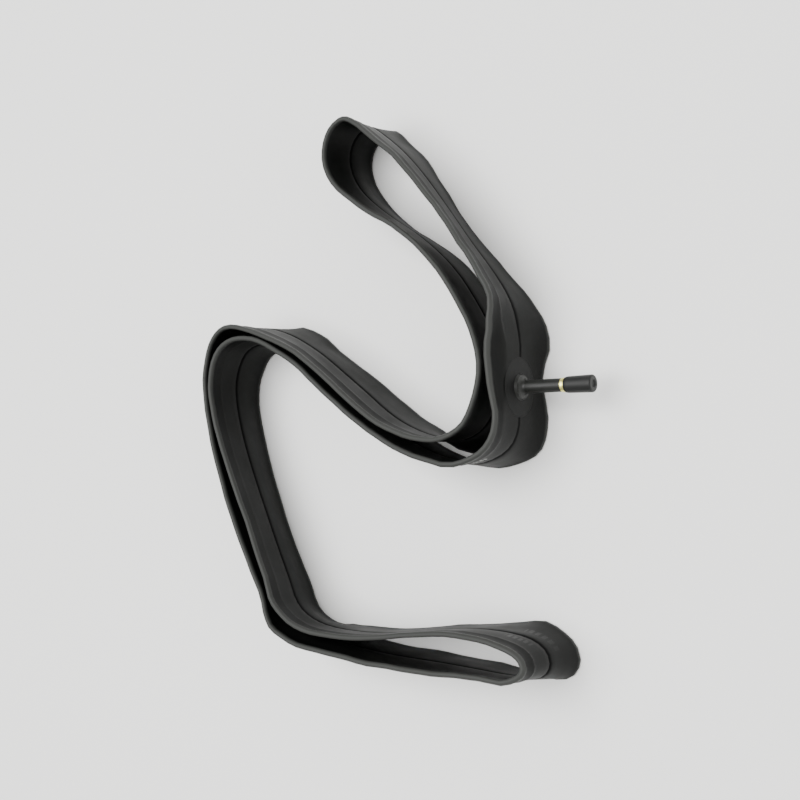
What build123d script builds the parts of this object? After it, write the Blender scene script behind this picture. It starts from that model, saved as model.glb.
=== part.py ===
"""Bicycle inner tube: a flat, empty tube standing on edge in an S, with its rubber-covered car valve.

Millimetres, +Z up. The tube stands on z = 0 and the valve points along -Y.
Along the valve, v is the distance out from the tube's outer face.
"""

import math
import os

from build123d import *

os.makedirs("parts", exist_ok=True)

# Tube, lying flat between its two folded edges
flat_width = 55.0
flat_thickness = 3.0
wall = 0.9

# Route of the tube's mid-line, seen from above: from the valve's straight run, round the small
# return, up the diagonal, over the far loop and back beside itself
route = [
    (-36, -98), (-48, -86), (-53, -66), (-47, -35), (-28, 2), (-4, 37), (17, 62), (31, 91),
    (37, 115), (33, 134), (20, 143), (2, 145), (-25, 139), (-64, 122), (-104, 101), (-132, 84),
    (-148, 75), (-158, 60), (-163, 38), (-163, -1), (-157, -33), (-152, -73), (-153, -103),
    (-158, -117), (-167, -122), (-175, -117), (-178, -101), (-176, -62), (-175, -14), (-172, 34),
    (-166, 68), (-158, 81), (-143, 87), (-119, 102), (-79, 123), (-36, 141), (0, 150), (27, 150),
    (42, 142), (47, 126), (41, 93), (25, 64), (1, 28), (-24, -6), (-38, -40), (-38, -63),
    (-28, -79), (-4, -86), (25, -81), (63, -58), (92, -27), (114, 6), (135, 31), (156, 41),
    (172, 37), (180, 24), (170, 11), (148, -15), (105, -48), (68, -77), (44, -93), (24, -98),
]
arc_share = 0.45

# Valve place: on the straight run that closes the route
valve_x = -7.0
valve_line_y = route[0][1]

# Rubber of the valve: patch, flange over the brass foot, jacket round the shank
patch_length = 36.0
patch_width = 30.0
patch_thickness = 0.6
flange_overlap = 2.5
flange_cover = 0.9
flange_edge = 0.4
root_radius = 3.2
jacket_radius = 4.0
jacket_wall = 0.9
jacket_length = 29.0

# Brass body of the valve
foot_radius = 5.5
foot_thickness = 1.0
air_radius = 1.6
collar_lip = 0.33
collar_length = 2.0
bare_length = 0.8
thread_radius = 3.87
thread_pitch = 0.794
thread_depth = 0.4
thread_turns = 13

# Dust cap and its seal
cap_clearance = 0.08
cap_wall = 0.95
cap_flare = 0.3
cap_edge = 1.1
cap_end_wall = 2.6
cap_length = 17.7
cap_lip_drop = 0.4
cap_lip_length = 2.2
dimple_radius = 2.6
dimple_depth = 0.9
seal_clearance = 0.15
seal_play = 0.1
seal_thickness = 0.9

# Valve core
plug_radius = 2.6
plug_length = 3.8
plug_sunk = 0.3
plug_bar_width = 2.3
plug_bar_length = 1.7
core_clearance = 0.05
neck_radius = 1.5
neck_length = 1.1
barrel_clearance = 0.3
barrel_wall = 0.65
barrel_length = 9.8
barrel_end_wall = 0.8
gasket_length = 1.4
gasket_drop = 2.0
gasket_clearance = 0.04
cone_length = 2.0
cone_step = 0.45
pin_radius = 0.5
pin_clearance = 0.08
pin_sunk = 0.1
pin_tail = 0.4
pin_collar_lip = 0.1
pin_collar_length = 0.5
pin_collar_drop = 1.2
washer_thickness = 0.9
cup_step = 0.15
cup_wall = 0.35
cup_floor = 0.7
cup_lip = 0.5
press_travel = 1.5
chamber_spare = 2.0
wire_radius = 0.14
coils = 7
coil_gap = 0.05

# Places along the valve, as distances out from the tube's outer face
foot_top = patch_thickness + foot_thickness
flange_top = foot_top + flange_cover
collar_top = jacket_length + collar_length
thread_start = collar_top + bare_length
mouth = thread_start + thread_turns * thread_pitch
plug_top = mouth - plug_sunk
plug_bottom = plug_top - plug_length
barrel_bottom = plug_bottom - barrel_length
gasket_top = plug_bottom - gasket_drop
chamber_bottom = barrel_bottom - washer_thickness - cup_floor - pin_tail - press_travel - chamber_spare
cap_start = collar_top + bare_length / 2
cap_end = cap_start + cap_length

# Radii that follow from what fits in what
shank_radius = jacket_radius - jacket_wall
flange_radius = foot_radius + flange_overlap
collar_radius = thread_radius + collar_lip
cap_bore = thread_radius + cap_clearance
cap_mouth_radius = cap_bore + cap_wall
cap_radius = cap_mouth_radius + cap_flare
core_bore = plug_radius + core_clearance
chamber_radius = core_bore - cone_step
barrel_radius = chamber_radius - barrel_clearance
spring_bore = barrel_radius - barrel_wall
pin_hole = pin_radius + pin_clearance
coil_radius = (pin_radius + spring_bore) / 2
pin_collar_radius = coil_radius + pin_collar_lip
cup_radius = barrel_radius - cup_step
washer_radius = cup_radius - cup_wall
seal_radius = cap_bore - seal_clearance
seal_bore = core_bore + seal_play

mid_height = flat_width / 2
face_y = valve_line_y - flat_thickness / 2
valve_axis = Axis((valve_x, face_y, mid_height), (0, -1, 0))
# Half plane through the valve's axis: local x is the radius, local y is v
half_plane = Plane(origin=valve_axis.position, x_dir=(0, 0, 1), z_dir=(1, 0, 0))


def across_valve(v):
    """Plane square to the valve's axis, facing out, at the distance v."""
    origin = valve_axis.position + valve_axis.direction * v
    return Plane(origin=origin, x_dir=(1, 0, 0), z_dir=valve_axis.direction)


def thread_rings(radius, start, turns):
    """Outline of a thread drawn as rings one pitch apart, from the start outwards."""
    rings = [(radius - thread_depth, start)]
    for turn in range(turns):
        crest = start + (turn + 0.5) * thread_pitch
        rings += [(radius, crest), (radius - thread_depth, crest + thread_pitch / 2)]
    return rings


def corner_radius(before, corner, after):
    """Arc radius at a corner of the route, as large as the shorter of its two runs allows."""
    arriving = corner - before
    leaving = after - corner
    half_turn = math.radians(arriving.get_angle(leaving)) / 2
    return arc_share * min(arriving.length, leaving.length) / math.tan(half_turn)


# Tube: one butyl loop, hollow, with the air hole under the valve
corners = [Vector(x, y, mid_height) for x, y in route]
after_corners = corners[1:] + corners[:1]
radii = [corner_radius(*three) for three in zip([corners[-1]] + corners[:-1], corners, after_corners)]
print("route radii:", [round(radius) for radius in radii])

with BuildLine() as mid_line:
    FilletPolyline(*corners, radius=radii, close=True)

loop = mid_line.wire()
with BuildPart() as tube_body:
    with BuildSketch(Plane(origin=loop @ 0, x_dir=(0, 0, 1), z_dir=loop % 0)) as flat_section:
        SlotOverall(flat_width, flat_thickness)
        SlotOverall(flat_width - 2 * wall, flat_thickness - 2 * wall, mode=Mode.SUBTRACT)
    sweep(path=loop)
    with BuildSketch(across_valve(-flat_thickness / 2)):
        Circle(air_radius)
    extrude(amount=flat_thickness / 2, mode=Mode.SUBTRACT)
print("tube length:", round(loop.length), "section area:", round(flat_section.sketch.area, 1))
tube_body.part.label = "tube_body"
export_step(tube_body.part, "parts/tube_body.step")

# Patch: thin oval of rubber cured on to the tube's face, longer along the tube
with BuildPart() as valve_patch:
    with BuildSketch(across_valve(0)):
        Ellipse(patch_length / 2, patch_width / 2)
        Circle(air_radius, mode=Mode.SUBTRACT)
    extrude(amount=patch_thickness)
valve_patch.part.label = "valve_patch"
export_step(valve_patch.part, "parts/valve_patch.step")

# Rubber jacket: flange moulded over the brass foot, then a plain stem
with BuildPart() as stem_jacket:
    with BuildSketch(half_plane):
        with BuildLine():
            side = Line((jacket_radius, jacket_length), (jacket_radius, flange_top + root_radius))
            root_end = (jacket_radius + root_radius, flange_top)
            root = RadiusArc(side @ 1, root_end, -root_radius)
            Polyline(
                root @ 1,
                (flange_radius, patch_thickness + flange_edge),
                (flange_radius, patch_thickness),
                (foot_radius, patch_thickness),
                (foot_radius, foot_top),
                (shank_radius, foot_top),
                (shank_radius, jacket_length),
                side @ 0,
            )
        make_face()
    revolve(axis=valve_axis)
stem_jacket.part.label = "stem_jacket"
export_step(stem_jacket.part, "parts/stem_jacket.step")

# Brass body: foot, shank, collar and outer thread, bored for the core
with BuildPart() as valve_body:
    with BuildSketch(half_plane):
        with BuildLine():
            Polyline(
                (air_radius, patch_thickness),
                (foot_radius, patch_thickness),
                (foot_radius, foot_top),
                (shank_radius, foot_top),
                (shank_radius, jacket_length),
                (collar_radius, jacket_length),
                (collar_radius, collar_top),
                (thread_radius - thread_depth, collar_top),
                *thread_rings(thread_radius, thread_start, thread_turns),
                (core_bore, mouth),
                (core_bore, gasket_top),
                (chamber_radius, gasket_top - cone_length),
                (chamber_radius, chamber_bottom),
                (air_radius, chamber_bottom),
                close=True,
            )
        make_face()
    revolve(axis=valve_axis)
valve_body.part.label = "valve_body"
export_step(valve_body.part, "parts/valve_body.step")

# Seal washer, pinched between the cap's ledge and the valve's mouth
with BuildPart() as cap_seal:
    with BuildSketch(across_valve(mouth)):
        Circle(seal_radius)
        Circle(seal_bore, mode=Mode.SUBTRACT)
    extrude(amount=seal_thickness)
cap_seal.part.label = "cap_seal"
export_step(cap_seal.part, "parts/cap_seal.step")

# Dust cap: long plastic cap with a rounded lip, a little wider at its closed end, dimpled there
with BuildPart() as dust_cap:
    with BuildSketch(half_plane):
        with BuildLine():
            outline = Polyline(
                (0, cap_end - dimple_depth),
                (dimple_radius - dimple_depth, cap_end - dimple_depth),
                (dimple_radius, cap_end),
                (cap_radius - cap_edge, cap_end),
            )
            shoulder = Line((cap_radius, cap_end - cap_edge), (cap_mouth_radius, cap_start + cap_lip_length))
            RadiusArc(outline @ 1, shoulder @ 0, cap_edge)
            lip = ThreePointArc(
                shoulder @ 1,
                (cap_mouth_radius - cap_lip_drop / 3, cap_start + cap_lip_length / 2),
                (cap_mouth_radius - cap_lip_drop, cap_start),
            )
            Polyline(
                lip @ 1,
                (cap_bore, cap_start),
                (cap_bore, mouth + seal_thickness),
                (seal_bore, mouth + seal_thickness),
                (seal_bore, cap_end - cap_end_wall),
                (0, cap_end - cap_end_wall),
                outline @ 0,
            )
        make_face()
    revolve(axis=valve_axis)
dust_cap.part.label = "dust_cap"
export_step(dust_cap.part, "parts/dust_cap.step")

# Core plug: threaded ring that screws the core in, with a bar across its top for the key
with BuildPart() as core_plug:
    with BuildSketch(across_valve(plug_bottom)):
        Circle(plug_radius)
    extrude(amount=plug_length)
    with BuildSketch(across_valve(plug_top - plug_bar_length)):
        Circle(plug_radius)
        Rectangle(plug_bar_width, 2 * plug_radius, mode=Mode.SUBTRACT)
    extrude(amount=plug_bar_length, mode=Mode.SUBTRACT)
    with BuildSketch(across_valve(plug_bottom)):
        Circle(pin_hole)
    extrude(amount=plug_length, mode=Mode.SUBTRACT)
    with BuildSketch(across_valve(plug_bottom)):
        Circle(neck_radius + core_clearance)
    extrude(amount=neck_length + core_clearance, mode=Mode.SUBTRACT)
core_plug.part.label = "core_plug"
export_step(core_plug.part, "parts/core_plug.step")

# Core barrel: hangs from the plug by its neck and houses the spring
spring_floor = barrel_bottom + barrel_end_wall
spring_roof = plug_bottom - barrel_end_wall
with BuildPart() as core_barrel:
    with BuildSketch(half_plane):
        with BuildLine():
            Polyline(
                (pin_hole, barrel_bottom),
                (barrel_radius, barrel_bottom),
                (barrel_radius, plug_bottom),
                (neck_radius, plug_bottom),
                (neck_radius, plug_bottom + neck_length),
                (pin_hole, plug_bottom + neck_length),
                (pin_hole, spring_roof),
                (spring_bore, spring_roof),
                (spring_bore, spring_floor),
                (pin_hole, spring_floor),
                close=True,
            )
        make_face()
    revolve(axis=valve_axis)
core_barrel.part.label = "core_barrel"
export_step(core_barrel.part, "parts/core_barrel.step")

# Core gasket: tapered ring on the barrel, matched to the cone in the brass body
cone_slope = (core_bore - chamber_radius) / cone_length
gasket_outer = core_bore - gasket_clearance
gasket_inner_end = gasket_outer - cone_slope * gasket_length
with BuildPart() as core_gasket:
    with BuildSketch(half_plane):
        with BuildLine():
            Polyline(
                (barrel_radius, gasket_top - gasket_length),
                (gasket_inner_end, gasket_top - gasket_length),
                (gasket_outer, gasket_top),
                (barrel_radius, gasket_top),
                close=True,
            )
        make_face()
    revolve(axis=valve_axis)
core_gasket.part.label = "core_gasket"
export_step(core_gasket.part, "parts/core_gasket.step")

# Pin: pressed from the mouth to let air past, with the small collar that the spring pushes
pin_top = plug_top - pin_sunk
pin_collar_top = plug_bottom - pin_collar_drop
pin_collar_bottom = pin_collar_top - pin_collar_length
cup_bottom = barrel_bottom - washer_thickness - cup_floor
with BuildPart() as core_pin:
    with BuildSketch(half_plane):
        with BuildLine():
            Polyline(
                (0, cup_bottom - pin_tail),
                (pin_collar_radius, cup_bottom - pin_tail),
                (pin_collar_radius, cup_bottom),
                (pin_radius, cup_bottom),
                (pin_radius, pin_collar_bottom),
                (pin_collar_radius, pin_collar_bottom),
                (pin_collar_radius, pin_collar_top),
                (pin_radius, pin_collar_top),
                (pin_radius, pin_top),
                (0, pin_top),
                close=True,
            )
        make_face()
    revolve(axis=valve_axis)
core_pin.part.label = "core_pin"
export_step(core_pin.part, "parts/core_pin.step")

# Cup and seat washer at the pin's inner end, closed against the barrel by the spring
with BuildPart() as pin_cup:
    with BuildSketch(half_plane):
        with BuildLine():
            Polyline(
                (pin_radius, cup_bottom),
                (cup_radius, cup_bottom),
                (cup_radius, cup_bottom + cup_floor + cup_lip),
                (washer_radius, cup_bottom + cup_floor + cup_lip),
                (washer_radius, cup_bottom + cup_floor),
                (pin_radius, cup_bottom + cup_floor),
                close=True,
            )
        make_face()
    revolve(axis=valve_axis)
pin_cup.part.label = "pin_cup"
export_step(pin_cup.part, "parts/pin_cup.step")

with BuildPart() as seat_washer:
    with BuildSketch(across_valve(barrel_bottom - washer_thickness)):
        Circle(washer_radius)
        Circle(pin_radius, mode=Mode.SUBTRACT)
    extrude(amount=washer_thickness)
seat_washer.part.label = "seat_washer"
export_step(seat_washer.part, "parts/seat_washer.step")

# Core spring: coiled round the pin, between the barrel's floor and the pin's collar
first_coil = spring_floor + wire_radius + coil_gap
coil_rise = pin_collar_bottom - spring_floor - 2 * (wire_radius + coil_gap)
with BuildPart() as core_spring:
    with BuildLine() as coil:
        Helix(
            pitch=coil_rise / coils,
            height=coil_rise,
            radius=coil_radius,
            center=valve_axis.position + valve_axis.direction * first_coil,
            direction=valve_axis.direction,
        )
    with BuildSketch(Plane(origin=coil.wire() @ 0, z_dir=coil.wire() % 0)):
        Circle(wire_radius)
    sweep(path=coil.wire(), is_frenet=True)
core_spring.part.label = "core_spring"
export_step(core_spring.part, "parts/core_spring.step")
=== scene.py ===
import math

import bmesh
import bpy
from mathutils import Matrix, Vector, noise


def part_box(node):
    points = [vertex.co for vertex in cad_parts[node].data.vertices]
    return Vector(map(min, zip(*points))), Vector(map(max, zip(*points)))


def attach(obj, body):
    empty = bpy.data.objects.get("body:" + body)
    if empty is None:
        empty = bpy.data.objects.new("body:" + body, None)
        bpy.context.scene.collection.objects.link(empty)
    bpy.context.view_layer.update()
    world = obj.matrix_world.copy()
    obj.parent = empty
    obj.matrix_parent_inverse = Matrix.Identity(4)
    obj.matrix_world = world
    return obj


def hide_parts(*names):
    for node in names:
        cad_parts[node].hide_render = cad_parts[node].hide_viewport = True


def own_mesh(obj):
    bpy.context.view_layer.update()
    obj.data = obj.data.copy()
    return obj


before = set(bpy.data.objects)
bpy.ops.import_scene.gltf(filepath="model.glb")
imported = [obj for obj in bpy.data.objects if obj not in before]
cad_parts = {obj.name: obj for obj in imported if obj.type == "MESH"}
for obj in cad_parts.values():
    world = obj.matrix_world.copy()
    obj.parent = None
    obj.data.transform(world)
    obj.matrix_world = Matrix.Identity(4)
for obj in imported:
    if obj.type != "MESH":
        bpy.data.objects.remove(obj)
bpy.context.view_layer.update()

mm = 0.001


# small helpers

def hexColour(code):
    channels = [int(code[i:i + 2], 16) / 255 for i in (1, 3, 5)]
    linear = [c / 12.92 if c <= 0.04045 else ((c + 0.055) / 1.055) ** 2.4 for c in channels]
    return (*linear, 1.0)


def addNode(material, kind, settings=None, links=None):
    # settings go to the node's inputs, to its own options or to a ramp's stops
    # links are input -> output socket
    node = material.node_tree.nodes.new(kind)
    for key, value in (settings or {}).items():
        if key == "stops":
            ramp = node.color_ramp.elements
            for place, colour in value:
                stop = ramp.new(place)
                stop.color = hexColour(colour)
            ramp.remove(ramp[0])
            ramp.remove(ramp[-1])
        elif isinstance(key, int) or key in node.inputs:
            node.inputs[key].default_value = value
        else:
            setattr(node, key, value)
    for key, socket in (links or {}).items():
        material.node_tree.links.new(socket, node.inputs[key])
    return node


def startMaterial(name):
    material = bpy.data.materials.new(name)
    material.use_nodes = True
    material.node_tree.nodes.clear()
    return material


def finishMaterial(material, settings, links):
    shader = addNode(material, "ShaderNodeBsdfPrincipled", settings, links)
    addNode(material, "ShaderNodeOutputMaterial", links={"Surface": shader.outputs[0]})
    return material


def paint(piece, material):
    piece.data.materials.clear()
    piece.data.materials.append(material)


def finishPiece(piece, name, body, material):
    piece.name = name
    paint(piece, material)
    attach(piece, body)
    return piece


def turnNormalsOut(piece):
    bm = bmesh.new()
    bm.from_mesh(piece.data)
    bmesh.ops.recalc_face_normals(bm, faces=bm.faces)
    bm.to_mesh(piece.data)
    bm.free()


def clearSelection():
    if bpy.context.object and bpy.context.object.mode != "OBJECT":
        bpy.ops.object.mode_set(mode="OBJECT")
    bpy.ops.object.select_all(action="DESELECT")


def smoothStep(value):
    value = min(max(value, 0.0), 1.0)
    return value * value * (3 - 2 * value)


# materials

def barRow(material, along, across, row):
    # 1 on a row of plain bars on the tube's face, and 0 elsewhere; pitch is from one bar to the next
    phase = addNode(material, "ShaderNodeMath", {"operation": "MULTIPLY", 1: math.tau / row["pitch"]},
                    {0: along}).outputs[0]
    wave = addNode(material, "ShaderNodeMath", {"operation": "SINE"}, {0: phase}).outputs[0]
    mask = addNode(material, "ShaderNodeMath", {"operation": "GREATER_THAN", 1: row["gap"]},
                   {0: wave}).outputs[0]
    middle, half = (row["start"] + row["end"]) / 2, (row["end"] - row["start"]) / 2
    for place, centre, reach in ((along, middle, half), (across, row["height"], row["half"])):
        inside = addNode(material, "ShaderNodeMath", {"operation": "COMPARE", 1: centre, 2: reach},
                         {0: place}).outputs[0]
        mask = addNode(material, "ShaderNodeMath", {"operation": "MULTIPLY"},
                       {0: mask, 1: inside}).outputs[0]
    return mask


def butylMaterial():
    # butyl rubber, extruded and cured in a mould: black and satin, with a soft grey bloom and a fine skin
    look = {
        "skin": 0.4 * mm,           # grain of the rubber's skin, drawn as coarse as it shows
        "bloom": 30 * mm,           # soft patches of wax bloom
        "smear": 9 * mm,            # streaks that run along the tube, from the extruder
        "grooveShadeHalfWidth": 0.65 * mm,  # painted shade along the mould line's groove at mid-width
        "patchEdge": 17.5 * mm,     # the painted groove shade stops at the valve's patch
        "rimHighlightStart": 24.2 * mm,      # the two folded edges get a painted highlight, lighter from this height outwards
    }
    # rows of bars: start and end along the tube, height and half height across it
    ink = {"start": 50 * mm, "end": 70 * mm, "height": 8.0 * mm, "half": 1.7 * mm, "pitch": 3.3 * mm,
           "gap": -0.25}
    raised = [
        {"start": 664 * mm, "end": 682 * mm, "height": 7.0 * mm, "half": 2.0 * mm, "pitch": 3.7 * mm,
         "gap": -0.25},
        {"start": 668 * mm, "end": 690 * mm, "height": -9.0 * mm, "half": 2.2 * mm, "pitch": 4.3 * mm,
         "gap": -0.25},
    ]
    material = startMaterial("curedButylRubber")
    place = addNode(material, "ShaderNodeTexCoord").outputs["Object"]
    across = addNode(material, "ShaderNodeAttribute", {"attribute_name": "across"}).outputs["Fac"]
    along = addNode(material, "ShaderNodeAttribute", {"attribute_name": "along"}).outputs["Fac"]
    fromValve = addNode(material, "ShaderNodeAttribute", {"attribute_name": "fromValve"}).outputs["Fac"]
    valveSide = addNode(material, "ShaderNodeAttribute", {"attribute_name": "valveSide"}).outputs["Fac"]
    bloom = addNode(material, "ShaderNodeTexNoise", {"Scale": 1 / look["bloom"], "Detail": 5.0},
                    {"Vector": place}).outputs["Fac"]
    skin = addNode(material, "ShaderNodeTexNoise", {"Scale": 1 / look["skin"], "Detail": 2.0},
                   {"Vector": place}).outputs["Fac"]
    strip = addNode(material, "ShaderNodeCombineXYZ", links={"X": along, "Y": across}).outputs[0]
    stretched = addNode(material, "ShaderNodeMapping", {"Scale": (0.12, 1.0, 1.0)},
                        {"Vector": strip}).outputs[0]
    smear = addNode(material, "ShaderNodeTexNoise", {"Scale": 1 / look["smear"], "Detail": 4.0},
                    {"Vector": stretched}).outputs["Fac"]
    cloud = addNode(material, "ShaderNodeMath", {"operation": "MULTIPLY_ADD", 1: 0.45},
                    {0: smear, 2: bloom}).outputs[0]
    rubber = addNode(material, "ShaderNodeValToRGB",
                     {"stops": [(0.52, "#050605"), (0.72, "#090a09"), (0.92, "#0e0f0d")]},
                     {"Fac": cloud}).outputs["Color"]
    distance = addNode(material, "ShaderNodeMath", {"operation": "ABSOLUTE"}, {0: across}).outputs[0]
    # painted shade: the mould line's groove is coloured near black, fading out at the valve's patch
    mouldGrooveShade = addNode(material, "ShaderNodeMapRange",
                   {"From Min": look["grooveShadeHalfWidth"], "From Max": 2.2 * look["grooveShadeHalfWidth"],
                    "To Min": 1.0, "To Max": 0.0}, {"Value": distance}).outputs[0]
    offPatch = addNode(material, "ShaderNodeMapRange",
                       {"From Min": look["patchEdge"], "From Max": look["patchEdge"] + 1 * mm},
                       {"Value": fromValve}).outputs[0]
    mouldGrooveShade = addNode(material, "ShaderNodeMath", {"operation": "MULTIPLY"}, {0: mouldGrooveShade, 1: offPatch}).outputs[0]
    lined = addNode(material, "ShaderNodeMix", {"data_type": "RGBA", 7: hexColour("#020202")},
                    {0: mouldGrooveShade, 6: rubber}).outputs[2]
    # painted highlight: the folded edges' colour is lightened towards both rims
    rim = addNode(material, "ShaderNodeMapRange",
                  {"From Min": look["rimHighlightStart"], "From Max": look["rimHighlightStart"] + 1.6 * mm, "To Max": 0.85},
                  {"Value": distance}).outputs[0]
    lined = addNode(material, "ShaderNodeMix", {"data_type": "RGBA", 7: hexColour("#3a3b39")},
                    {0: rim, 6: lined}).outputs[2]
    wornInk = addNode(material, "ShaderNodeMapRange",
                      {"From Min": 0.38, "From Max": 0.56, "To Max": 0.8}, {"Value": skin}).outputs[0]
    printed = barRow(material, along, across, ink)
    for share in (wornInk, valveSide):
        printed = addNode(material, "ShaderNodeMath", {"operation": "MULTIPLY"},
                          {0: printed, 1: share}).outputs[0]
    rows = addNode(material, "ShaderNodeMath", {"operation": "ADD"},
                   {0: barRow(material, along, across, raised[0]),
                    1: barRow(material, along, across, raised[1])}).outputs[0]
    moulded = addNode(material, "ShaderNodeMath", {"operation": "MULTIPLY"},
                      {0: rows, 1: valveSide}).outputs[0]
    colour = addNode(material, "ShaderNodeMix", {"data_type": "RGBA", 7: hexColour("#b9bbb6")},
                     {0: printed, 6: lined}).outputs[2]
    roughness = addNode(material, "ShaderNodeMapRange",
                        {"From Min": 0.5, "From Max": 0.95, "To Min": 0.50, "To Max": 0.66},
                        {"Value": cloud}).outputs[0]
    for part, change in ((rim, -0.08), (mouldGrooveShade, 0.4), (moulded, -0.12)):
        roughness = addNode(material, "ShaderNodeMath",
                            {"operation": "MULTIPLY_ADD", "use_clamp": True, 1: change},
                            {0: part, 2: roughness}).outputs[0]
    relief = addNode(material, "ShaderNodeMath", {"operation": "MULTIPLY_ADD", 1: 3.0},
                     {0: moulded, 2: skin}).outputs[0]
    bump = addNode(material, "ShaderNodeBump", {"Strength": 0.18, "Distance": 0.14 * mm},
                   {"Height": relief}).outputs[0]
    return finishMaterial(material, {"IOR": 1.25},
                          {"Base Color": colour, "Roughness": roughness, "Normal": bump})


def mouldedMaterial(look):
    # rubber or plastic from a mould: one colour with soft clouding and the mould's fine grain
    material = startMaterial(look["name"])
    place = addNode(material, "ShaderNodeTexCoord").outputs["Object"]
    cloud = addNode(material, "ShaderNodeTexNoise", {"Scale": 1 / look["cloud"], "Detail": 4.0},
                    {"Vector": place}).outputs["Fac"]
    grain = addNode(material, "ShaderNodeTexNoise", {"Scale": 1 / look["grain"], "Detail": 2.0},
                    {"Vector": place}).outputs["Fac"]
    colour = addNode(material, "ShaderNodeValToRGB",
                     {"stops": [(0.3, look["dark"]), (0.7, look["light"])]},
                     {"Fac": cloud}).outputs["Color"]
    roughness = addNode(material, "ShaderNodeMapRange",
                        {"To Min": look["rough"] - 0.07, "To Max": look["rough"] + 0.07},
                        {"Value": cloud}).outputs[0]
    bump = addNode(material, "ShaderNodeBump", {"Strength": look["relief"], "Distance": 0.1 * mm},
                   {"Height": grain}).outputs[0]
    return finishMaterial(material, {"IOR": look["ior"]},
                          {"Base Color": colour, "Roughness": roughness, "Normal": bump})


def turnedMaterial(look):
    # metal turned on a lathe: fine rings across the valve's axis, which lies along Y
    material = startMaterial(look["name"])
    place = addNode(material, "ShaderNodeTexCoord").outputs["Object"]
    rings = addNode(material, "ShaderNodeTexWave",
                    {"bands_direction": "Y", "Scale": 1 / look["feed"], "Distortion": 0.6},
                    {"Vector": place}).outputs["Fac"]
    cloud = addNode(material, "ShaderNodeTexNoise", {"Scale": 1 / (2 * mm), "Detail": 3.0},
                    {"Vector": place}).outputs["Fac"]
    colour = addNode(material, "ShaderNodeValToRGB",
                     {"stops": [(0.3, look["dark"]), (0.7, look["light"])]},
                     {"Fac": cloud}).outputs["Color"]
    roughness = addNode(material, "ShaderNodeMapRange",
                        {"To Min": look["rough"] - 0.05, "To Max": look["rough"] + 0.08},
                        {"Value": cloud}).outputs[0]
    bump = addNode(material, "ShaderNodeBump", {"Strength": 0.1, "Distance": 0.02 * mm},
                   {"Height": rings}).outputs[0]
    return finishMaterial(material, {"Metallic": 1.0},
                          {"Base Color": colour, "Roughness": roughness, "Normal": bump})


# tube

tube = {
    "width": 55 * mm,
    "rings": 780,
    "torusRadius": 0.3,        # the torus before it is pressed flat
    "torusThickness": 0.02,
    "curveSteps": 24,          # points of the mid-line for each point of its route
    "ringPull": 14 * mm,       # how strongly the rings crowd into the bends
    "flatThickness": 3 * mm,
    "faceLevel": 1.1 * mm,     # the plain faces stand off mid-wall this far
    "valveX": -7 * mm,
    "patchHold": 20 * mm,      # the wall stays flat and upright this far from the valve
    "patchFade": 24 * mm,
    "patchHeight": 21 * mm,    # the flat round the valve reaches this far from mid-width
    "patchFadeHeight": 3 * mm,
    "leanHeight": 15 * mm,     # round the valve only the edges beyond this height lean
    "ridgeStart": 3 * mm,      # the ridge lies between these heights, on the valve's side
    "ridgeEnd": 23 * mm,
    "calmHeight": 5 * mm,      # the rims' waves fade out this far from mid-width
    "patchCalmHeight": 15 * mm,
    "swell": 0.9 * mm,         # long waves of the whole width, and how many to a metre
    "swellCount": 20,
    "ripple": 0.7 * mm,        # short waves of each rim, and how many to a metre
    "rippleCount": 55,
    "rippleStart": 8 * mm,
    "rippleRise": 18 * mm,
    "rippleShift": 3,          # sets the two rims' ripples apart
}

# mid-line from above, in mm, from the straight run under the valve and round the loop
route = [
    (-18, -98), (-32, -98), (-43, -93), (-50, -81), (-53, -64), (-47, -35), (-28, 2), (-4, 37),
    (17, 62), (31, 91), (37, 115), (33, 134), (20, 143), (2, 146), (-25, 139), (-64, 122),
    (-104, 101), (-132, 85), (-149, 77), (-159, 61), (-163, 38), (-163, -1), (-157, -33),
    (-152, -73), (-153, -103), (-158, -117), (-167, -122), (-175, -117), (-178, -101),
    (-176, -62), (-175, -14), (-172, 34), (-166, 67), (-158, 80), (-143, 86), (-119, 101),
    (-79, 122), (-36, 141), (0, 150), (27, 150), (42, 142), (47, 126), (41, 93), (25, 64),
    (1, 28), (-24, -6), (-38, -40), (-38, -63), (-28, -79), (-4, -87), (25, -82), (63, -58),
    (92, -27), (114, 6), (135, 31), (156, 41), (172, 37), (180, 24), (170, 11), (148, -15),
    (105, -48), (68, -77), (42, -95), (24, -98), (12, -98), (-3, -98),
]

# how far the lower edge stands out past the upper one, in mm, by share of the loop's length
lean = [
    (0.000, 9), (0.018, 6), (0.031, 3), (0.045, 1), (0.066, 0), (0.165, 0), (0.185, -3), (0.212, -6),
    (0.229, -8), (0.249, -7), (0.268, -4), (0.282, 0), (0.341, 0), (0.353, 4), (0.364, 8),
    (0.379, 6), (0.392, 2), (0.402, -1), (0.434, -3), (0.477, -1), (0.500, 0), (0.579, 0),
    (0.601, 4), (0.630, 8), (0.648, 3), (0.703, 3), (0.816, 3), (0.832, 1), (0.850, -2),
    (0.863, 1), (0.878, 5), (0.894, 2), (0.907, -3), (0.933, -9), (0.953, -5), (0.969, 1),
    (0.982, 10), (0.986, 11), (1.000, 9),
]

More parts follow.
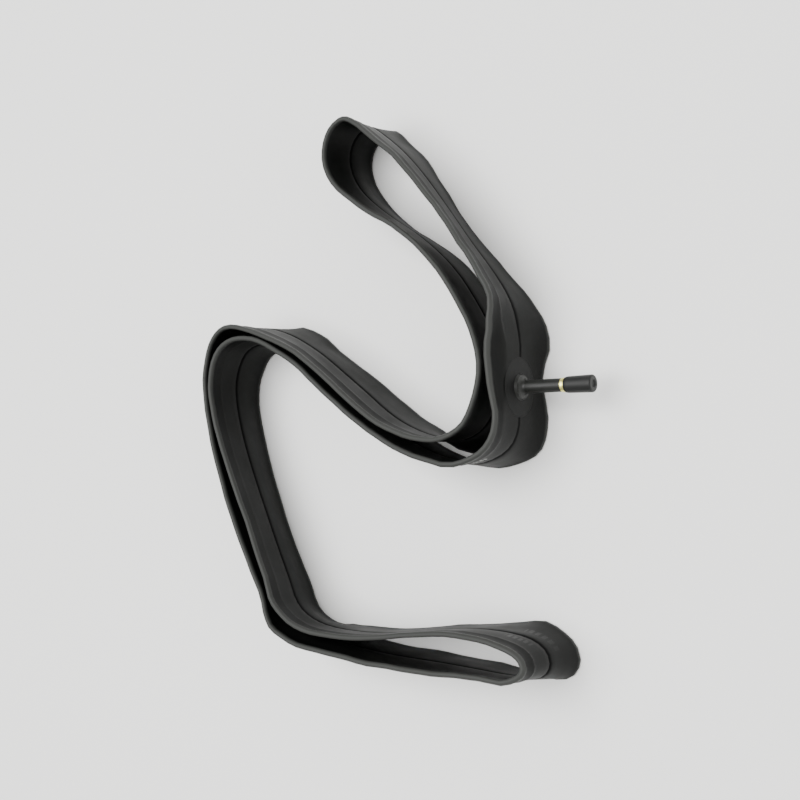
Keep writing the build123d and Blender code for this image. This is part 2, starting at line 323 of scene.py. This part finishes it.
# how far each folded edge is pushed out towards the valve's side, in mm, by share of the loop's length
# this is a fitted table: most of its values were scaled from offsets that a measuring script printed
rimWaves = {
    "upper": [
        (0.000, 0.5), (0.009, 4.0), (0.020, 3.6), (0.034, 3.2), (0.045, 1.6), (0.070, 1.6), (0.085, 1.0),
        (0.105, 0.6), (0.125, 0.6), (0.140, 0.0), (0.365, 0.0), (0.376, 1.0), (0.384, 1.8), (0.392, -0.6),
        (0.400, -1.3), (0.410, 0.3), (0.420, 0.7), (0.432, 0.0), (0.445, 0.3), (0.457, 1.0), (0.472, 2.2),
        (0.481, 1.2), (0.488, -0.5), (0.496, -1.6), (0.506, -0.8), (0.530, 0.0), (0.595, 0.0),
        (0.608, 1.0), (0.620, 0.5), (0.635, 0.0), (0.800, 0.0), (0.815, 0.4), (0.832, 1.4), (0.856, 1.3),
        (0.866, 0.2), (0.872, 0.2), (0.882, 1.4), (0.893, 0.0), (0.920, 0.0), (0.928, -1.0),
        (0.936, -0.4), (0.944, 0.8), (0.958, 0.8), (0.972, 2.5), (0.981, 0.8), (0.989, -1.5),
        (0.996, -0.5), (1.000, 0.5),
    ],
    "lower": [
        (0.000, -3.0), (0.004, -1.0), (0.009, 1.0), (0.017, 1.8), (0.026, -0.3), (0.035, 0.0),
        (0.150, 0.0), (0.162, -1.6), (0.170, -3.3), (0.200, -3.2), (0.215, -3.8), (0.235, -3.7),
        (0.255, -3.2),
        (0.265, -4.6), (0.273, -3.8), (0.281, -1.6), (0.290, 0.0), (0.350, 0.3), (0.360, 2.2),
        (0.367, 0.4), (0.376, 1.6), (0.385, -0.4), (0.395, 0.0), (0.470, 0.0), (0.490, 2.0),
        (0.560, 2.2), (0.580, 1.5), (0.595, 0.0), (0.608, 1.0), (0.616, -0.6), (0.624, 1.6),
        (0.632, 0.6), (0.648, -1.0), (0.665, 0.0), (0.690, 0.8), (0.701, 0.2), (0.7115, -6.0),
        (0.7226, -9.0), (0.735, -9.5), (0.745, -6.0), (0.757, -1.5), (0.766, 0.0), (0.800, 0.0),
        (0.816, 1.1),
        (0.825, 2.2), (0.840, 1.8), (0.848, 1.6), (0.856, 2.4), (0.866, 3.0), (0.875, 1.5),
        (0.885, 0.0), (0.900, 0.0), (0.911, -2.0), (0.920, -1.8), (0.930, -1.0), (0.945, 0.0), (0.966, 0.0),
        (0.978, 0.7), (0.985, 0.8), (0.989, -1.5), (0.993, -4.2), (0.997, -4.0), (1.000, -3.0),
    ],
}

# how proud the ridge below the upper edge stands, by share of the loop's length: worn flat on one run
ridgeProud = [(0.0, 1.0), (0.12, 1.0), (0.155, 0.3), (0.24, 0.3), (0.28, 0.9), (1.0, 1.0)]

# the flat section's outline, in mm: height above mid-width, and how far it stands off mid-wall
ridgedHalf = [
    (27.5, 0.0), (27.38, 0.75), (27.0, 1.3), (26.4, 1.7), (25.6, 1.85), (24.8, 1.7), (24.1, 1.3),
    (23.4, 1.0), (22.2, 0.9), (20.6, 0.95), (19.0, 1.15), (17.8, 1.4), (17.0, 1.6), (16.4, 1.62),
    (15.9, 1.45), (15.3, 1.2), (13.5, 1.08), (9.5, 1.1), (5.0, 1.1), (2.0, 1.1), (1.2, 0.8), (0.0, 0.3),
]
plainHalf = [
    (27.5, 0.0), (27.38, 0.7), (27.0, 1.2), (26.4, 1.5), (25.6, 1.58), (24.6, 1.48), (23.4, 1.3),
    (21.6, 1.16), (19.5, 1.1), (16.5, 1.1), (12.5, 1.1), (8.5, 1.1), (5.0, 1.1), (2.0, 1.1),
    (1.2, 0.9), (0.0, 0.6),
]


def midLine():
    # the smooth closed line through the route, with its start moved under the valve
    curve = bpy.data.curves.new("routeLine", "CURVE")
    curve.dimensions = "3D"
    curve.resolution_u = tube["curveSteps"]
    spline = curve.splines.new("NURBS")
    spline.points.add(len(route) - 1)
    for point, (x, y) in zip(spline.points, route):
        point.co = (x * mm, y * mm, 0, 1)
    spline.use_cyclic_u = True
    spline.order_u = 3
    holder = bpy.data.objects.new("routeLine", curve)
    bpy.context.scene.collection.objects.link(holder)
    bpy.context.view_layer.update()
    mesh = bpy.data.meshes.new_from_object(holder.evaluated_get(bpy.context.evaluated_depsgraph_get()))
    points = [v.co.copy() for v in mesh.vertices]
    bpy.data.objects.remove(holder)
    valvePlace = Vector((tube["valveX"], route[0][1] * mm, 0))
    start = min(range(len(points)), key=lambda i: (points[i] - valvePlace).length)
    points = points[start:] + points[:start]
    if points[1].x > points[0].x:
        points = [points[0]] + points[:0:-1]
    return points


def spreadRings(points, count):
    # evenly weighted places along the loop, closer together where it bends
    steps = [after - before for before, after in zip(points, points[1:] + points[:1])]
    weights = []
    for i, step in enumerate(steps):
        bend = step.angle(steps[(i + 1) % len(steps)], 0.0)
        weights.append(step.length + tube["ringPull"] * bend)
    total = sum(weights)
    rings = []
    done, index = 0.0, 0
    for ring in range(count):
        goal = total * ring / count
        while done + weights[index] < goal:
            done += weights[index]
            index += 1
        part = (goal - done) / weights[index]
        rings.append(index + part)
    return rings


def valueAt(steps, share):
    for (a, before), (b, after) in zip(steps, steps[1:]):
        if a <= share <= b:
            return (before + (after - before) * smoothStep((share - a) / (b - a))) * mm
    return steps[0][1] * mm


class FlatTube:
    # the surface of the empty tube, by share of its length, height and face

    def __init__(self):
        self.points = midLine()
        lengths = [0.0]
        for a, b in zip(self.points, self.points[1:] + self.points[:1]):
            lengths.append(lengths[-1] + (b - a).length)
        self.lengths = lengths
        self.total = lengths[-1]

    def frameAt(self, place):
        count = len(self.points)
        index = int(place) % count
        part = place - int(place)
        a, b = self.points[index], self.points[(index + 1) % count]
        before, after = self.points[index - 1], self.points[(index + 2) % count]
        along = ((b - before).normalized().lerp((after - a).normalized(), part)).normalized()
        centre = a.lerp(b, part)
        out = Vector((-along.y, along.x, 0))
        length = self.lengths[index] + (b - a).length * part
        return centre, along, out, length

    def surface(self, place, height, stand, side):
        centre, along, out, length = self.frameAt(place)
        fromValve = min(length, self.total - length)
        hold = 1 - smoothStep((fromValve - tube["patchHold"]) / tube["patchFade"])
        leaning = valueAt(lean, length / self.total)
        half = tube["width"] / 2
        straight = -leaning * height / tube["width"]
        edge = smoothStep((abs(height) - tube["leanHeight"]) / (half - tube["leanHeight"]))
        held = -0.5 * leaning * math.copysign(edge, height)
        shift = straight * (1 - hold) + held * hold
        if tube["ridgeStart"] < height < tube["ridgeEnd"] and side > 0:
            level = tube["faceLevel"]
            stand = level + (stand - level) * valueAt(ridgeProud, length / self.total) / mm
        if abs(height) < tube["patchHeight"]:
            fade = smoothStep((tube["patchHeight"] - abs(height)) / tube["patchFadeHeight"])
            stand = stand + (tube["flatThickness"] / 2 - stand) * hold * fade
        calm = tube["calmHeight"] + (tube["patchCalmHeight"] - tube["calmHeight"]) * hold
        pushed = valueAt(rimWaves["upper" if height > 0 else "lower"], length / self.total)
        shift += pushed * smoothStep((abs(height) - calm) / (half - calm))
        swell = noise.noise(centre * tube["swellCount"]) * tube["swell"] * (1 - hold)
        rim = smoothStep((abs(height) - tube["rippleStart"]) / tube["rippleRise"])
        apart = Vector((0, 0, math.copysign(tube["rippleShift"], height)))
        ripple = noise.noise(centre * tube["rippleCount"] + apart) * tube["ripple"] * rim * (1 - hold)
        squeeze = math.sqrt(max(0.0, 1 - (leaning / tube["width"]) ** 2))
        point = centre + out * (shift + swell + ripple + side * stand)
        point.z = half * squeeze + height * squeeze
        return point


def makeTube():
    surface = FlatTube()
    ridged = [(h * mm, s * mm) for h, s in ridgedHalf]
    plain = [(h * mm, s * mm) for h, s in plainHalf]
    section = [(h, s, 1) for h, s in ridged] + [(-h, s, 1) for h, s in reversed(plain[:-1])]
    section += [(-h, s, -1) for h, s in plain[1:]] + [(h, s, -1) for h, s in reversed(plain[1:-1])]
    girth = len(section)
    rings = spreadRings(surface.points, tube["rings"])
    clearSelection()
    # an inner tube is a torus, here pressed flat and laid along its mid-line
    bpy.ops.mesh.primitive_torus_add(major_segments=tube["rings"], minor_segments=girth,
                                     major_radius=tube["torusRadius"], minor_radius=tube["torusThickness"])
    piece = bpy.context.object
    mesh = piece.data
    tags = {"across": [], "along": [], "fromValve": [], "valveSide": []}
    for vertex in mesh.vertices:
        x, y, z = vertex.co
        ring = round(math.atan2(y, x) / math.tau * tube["rings"]) % tube["rings"]
        spot = round(math.atan2(z, math.hypot(x, y) - tube["torusRadius"]) / math.tau * girth) % girth
        height, stand, side = section[spot]
        vertex.co = surface.surface(rings[ring], height, stand, side)
        length = surface.frameAt(rings[ring])[3]
        tags["across"].append(height)
        tags["along"].append(length)
        tags["fromValve"].append(min(length, surface.total - length))
        tags["valveSide"].append(max(0, side))
    for tag, values in tags.items():
        mesh.attributes.new(tag, "FLOAT", "POINT").data.foreach_set("value", values)
    turnNormalsOut(piece)
    clearSelection()
    piece.select_set(True)
    bpy.context.view_layer.objects.active = piece
    bpy.ops.object.shade_smooth()
    return surface, piece


# cured patch: an oval with a feathered edge that swells up to the valve's flange

curedPatch = {
    "length": 36 * mm,
    "width": 34 * mm,
    "steps": 96,
    # share of the oval's half width that each ring steps in, and how far it rises off the tube's face
    "rings": [(0.03, 0.06 * mm), (0.05, 0.10 * mm), (0.07, 0.12 * mm), (0.09, 0.10 * mm),
              (0.14, 0.06 * mm), (0.12, 0.10 * mm), (0.06, 0.16 * mm), (0.04, 0.22 * mm)],
    "edge": 0.06 * mm,
    "sink": 0.02 * mm,         # the back of the patch lies this deep in the tube's face
}


def makePatch():
    clearSelection()
    low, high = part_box("valve_patch")
    middle = Vector([(a + b) / 2 for a, b in zip(low, high)])
    face = high[1]
    bpy.ops.mesh.primitive_circle_add(vertices=curedPatch["steps"], radius=curedPatch["length"] / 2,
                                      fill_type="NGON", rotation=(math.pi / 2, 0, 0),
                                      location=(middle.x, face + curedPatch["sink"], middle.z))
    piece = bpy.context.object
    bpy.ops.object.transform_apply(location=True, rotation=True, scale=True)
    for vertex in piece.data.vertices:
        vertex.co.z = middle.z + (vertex.co.z - middle.z) * curedPatch["width"] / curedPatch["length"]
    bpy.ops.object.mode_set(mode="EDIT")
    bpy.ops.mesh.select_all(action="SELECT")
    bpy.ops.mesh.extrude_region_move(TRANSFORM_OT_translate={"value": (0, -curedPatch["edge"], 0)})
    for share, rise in curedPatch["rings"]:
        bpy.ops.mesh.inset(thickness=share * curedPatch["width"] / 2, depth=0)
        bpy.ops.transform.translate(value=(0, -rise, 0))
    bpy.ops.object.mode_set(mode="OBJECT")
    turnNormalsOut(piece)
    bpy.ops.object.shade_smooth()
    return piece


# core spring: a coil of round wire; in the real valve it shortens as the pin is pressed

spring = {
    "wireRadius": 0.14 * mm,
    "coils": 9,
    "around": 12,
    "steps": 36,
    "press": 1.5 * mm,
}


def makeSpring():
    clearSelection()
    low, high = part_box("core_spring")
    wire = spring["wireRadius"]
    reach = (high[0] - low[0]) / 2 - wire
    length = high[1] - low[1]
    bpy.ops.mesh.primitive_circle_add(vertices=spring["around"], radius=wire, location=(reach, 0, 0))
    piece = bpy.context.object
    bpy.ops.object.transform_apply(location=True)
    screw = piece.modifiers.new("coil", "SCREW")
    screw.axis = "Y"
    screw.iterations = spring["coils"]
    screw.screw_offset = (length - 2 * wire) / spring["coils"]
    screw.steps = screw.render_steps = spring["steps"]
    bpy.ops.object.modifier_apply(modifier="coil")
    for vertex in piece.data.vertices:
        vertex.co += Vector(((low[0] + high[0]) / 2, low[1] + wire, (low[2] + high[2]) / 2))
    bpy.ops.object.mode_set(mode="EDIT")
    bpy.ops.mesh.select_all(action="SELECT")
    bpy.ops.mesh.fill_holes(sides=spring["around"])
    bpy.ops.mesh.select_all(action="SELECT")
    bpy.ops.mesh.normals_make_consistent(inside=False)
    bpy.ops.object.mode_set(mode="OBJECT")
    bpy.ops.object.shade_smooth()
    finishPiece(piece, "coreSpring", "core", springWire)
    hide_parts("core_spring")
    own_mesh(piece)


print("materials")
butyl = butylMaterial()
patchRubber = mouldedMaterial({       # cured patch: matt, a touch lighter than the tube
    "name": "curedPatchRubber", "dark": "#080908", "light": "#0c0d0c", "rough": 0.58,
    "cloud": 14 * mm, "grain": 0.45 * mm, "relief": 0.14, "ior": 1.27})
jacketRubber = mouldedMaterial({      # injection moulded rubber of the stem: smooth, satin
    "name": "mouldedValveRubber", "dark": "#131412", "light": "#191a17", "rough": 0.46,
    "cloud": 8 * mm, "grain": 0.45 * mm, "relief": 0.10, "ior": 1.40})
capPlastic = mouldedMaterial({        # polyethylene cap: dark grey, soft sheen from a polished mould
    "name": "mouldedCapPlastic", "dark": "#101110", "light": "#151615", "rough": 0.50,
    "cloud": 7 * mm, "grain": 0.6 * mm, "relief": 0.05, "ior": 1.38})
sealRubber = mouldedMaterial({        # nitrile washers: matt black
    "name": "nitrileSealRubber", "dark": "#141414", "light": "#1c1c1c", "rough": 0.62,
    "cloud": 3 * mm, "grain": 0.3 * mm, "relief": 0.12, "ior": 1.52})
gasketPlastic = mouldedMaterial({     # fluoropolymer gasket: milky and waxy
    "name": "waxyGasketPlastic", "dark": "#cfccc2", "light": "#dddad0", "rough": 0.45,
    "cloud": 3 * mm, "grain": 0.3 * mm, "relief": 0.05, "ior": 1.36})
brass = turnedMaterial({              # free-cutting brass, turned: pale yellow with fine tool rings
    "name": "turnedBrass", "dark": "#e8df7e", "light": "#fff8a8", "rough": 0.34, "feed": 0.35 * mm})
springWire = turnedMaterial({         # drawn steel wire: grey, smooth
    "name": "drawnSpringSteel", "dark": "#8d8f90", "light": "#b4b6b6", "rough": 0.3, "feed": 0.25 * mm})

print("tube")
tubeSurface, tubePiece = makeTube()
finishPiece(tubePiece, "butylTube", "tube", butyl)
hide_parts("tube_body")

print("valve")
patchPiece = makePatch()
finishPiece(patchPiece, "featheredPatch", "tube", patchRubber)
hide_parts("valve_patch")
nodeLooks = {
    "stem_jacket": jacketRubber, "valve_body": brass,
    "cap_seal": sealRubber, "dust_cap": capPlastic, "core_plug": brass, "core_barrel": brass,
    "core_gasket": gasketPlastic, "core_pin": brass, "pin_cup": brass, "seat_washer": sealRubber,
}
for node, look in nodeLooks.items():
    paint(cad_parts[node], look)
makeSpring()


# stage, light and camera

def makeFloor():
    clearSelection()
    bpy.ops.mesh.primitive_plane_add(size=8, location=(0, 0, 0))
    floor = bpy.context.object
    floor.name = "paleFloor"
    material = startMaterial("paleFloor")
    finishMaterial(material, {"Base Color": hexColour("#fafaf8"), "Roughness": 0.9}, {})
    paint(floor, material)


def areaLight(name, place, target, size, power):
    data = bpy.data.lights.new(name, "AREA")
    data.shape = "SQUARE"
    data.size = size
    data.energy = power
    lamp = bpy.data.objects.new(name, data)
    bpy.context.scene.collection.objects.link(lamp)
    lamp.location = place
    lamp.rotation_euler = (Vector(target) - Vector(place)).to_track_quat("-Z", "Y").to_euler()


def makeCamera():
    view = {
        "lookAt": (-8 * mm, 12 * mm, 0),
        "distance": 717 * mm,
        "elevation": 52,
        "turn": -8.4,      # degrees about the vertical
        "roll": -82.2,     # the camera lies on its side
        "lens": 47.2,
    }
    data = bpy.data.cameras.new("camera")
    data.lens = view["lens"]
    data.clip_start = 0.01
    camera = bpy.data.objects.new("camera", data)
    bpy.context.scene.collection.objects.link(camera)
    rise, turn = math.radians(view["elevation"]), math.radians(view["turn"])
    back = Vector((math.sin(turn) * math.cos(rise), -math.cos(turn) * math.cos(rise), math.sin(rise)))
    camera.location = Vector(view["lookAt"]) + back * view["distance"]
    facing = (-back).to_track_quat("-Z", "Y")
    camera.rotation_mode = "QUATERNION"
    roll = Matrix.Rotation(math.radians(view["roll"]), 3, "Z").to_quaternion()
    camera.rotation_quaternion = facing @ roll
    bpy.context.scene.camera = camera


print("stage")
makeFloor()
areaLight("frontLight", (-0.3, -2.0, 0.9), (0, 0, 0), 1.4, 12)
areaLight("topLight", (0.2, 0.4, 2.4), (0, 0, 0), 2.0, 110)
world = bpy.data.worlds.new("studio")
world.use_nodes = True
world.node_tree.nodes["Background"].inputs["Color"].default_value = hexColour("#ffffff")
world.node_tree.nodes["Background"].inputs["Strength"].default_value = 0.75
bpy.context.scene.world = world
makeCamera()
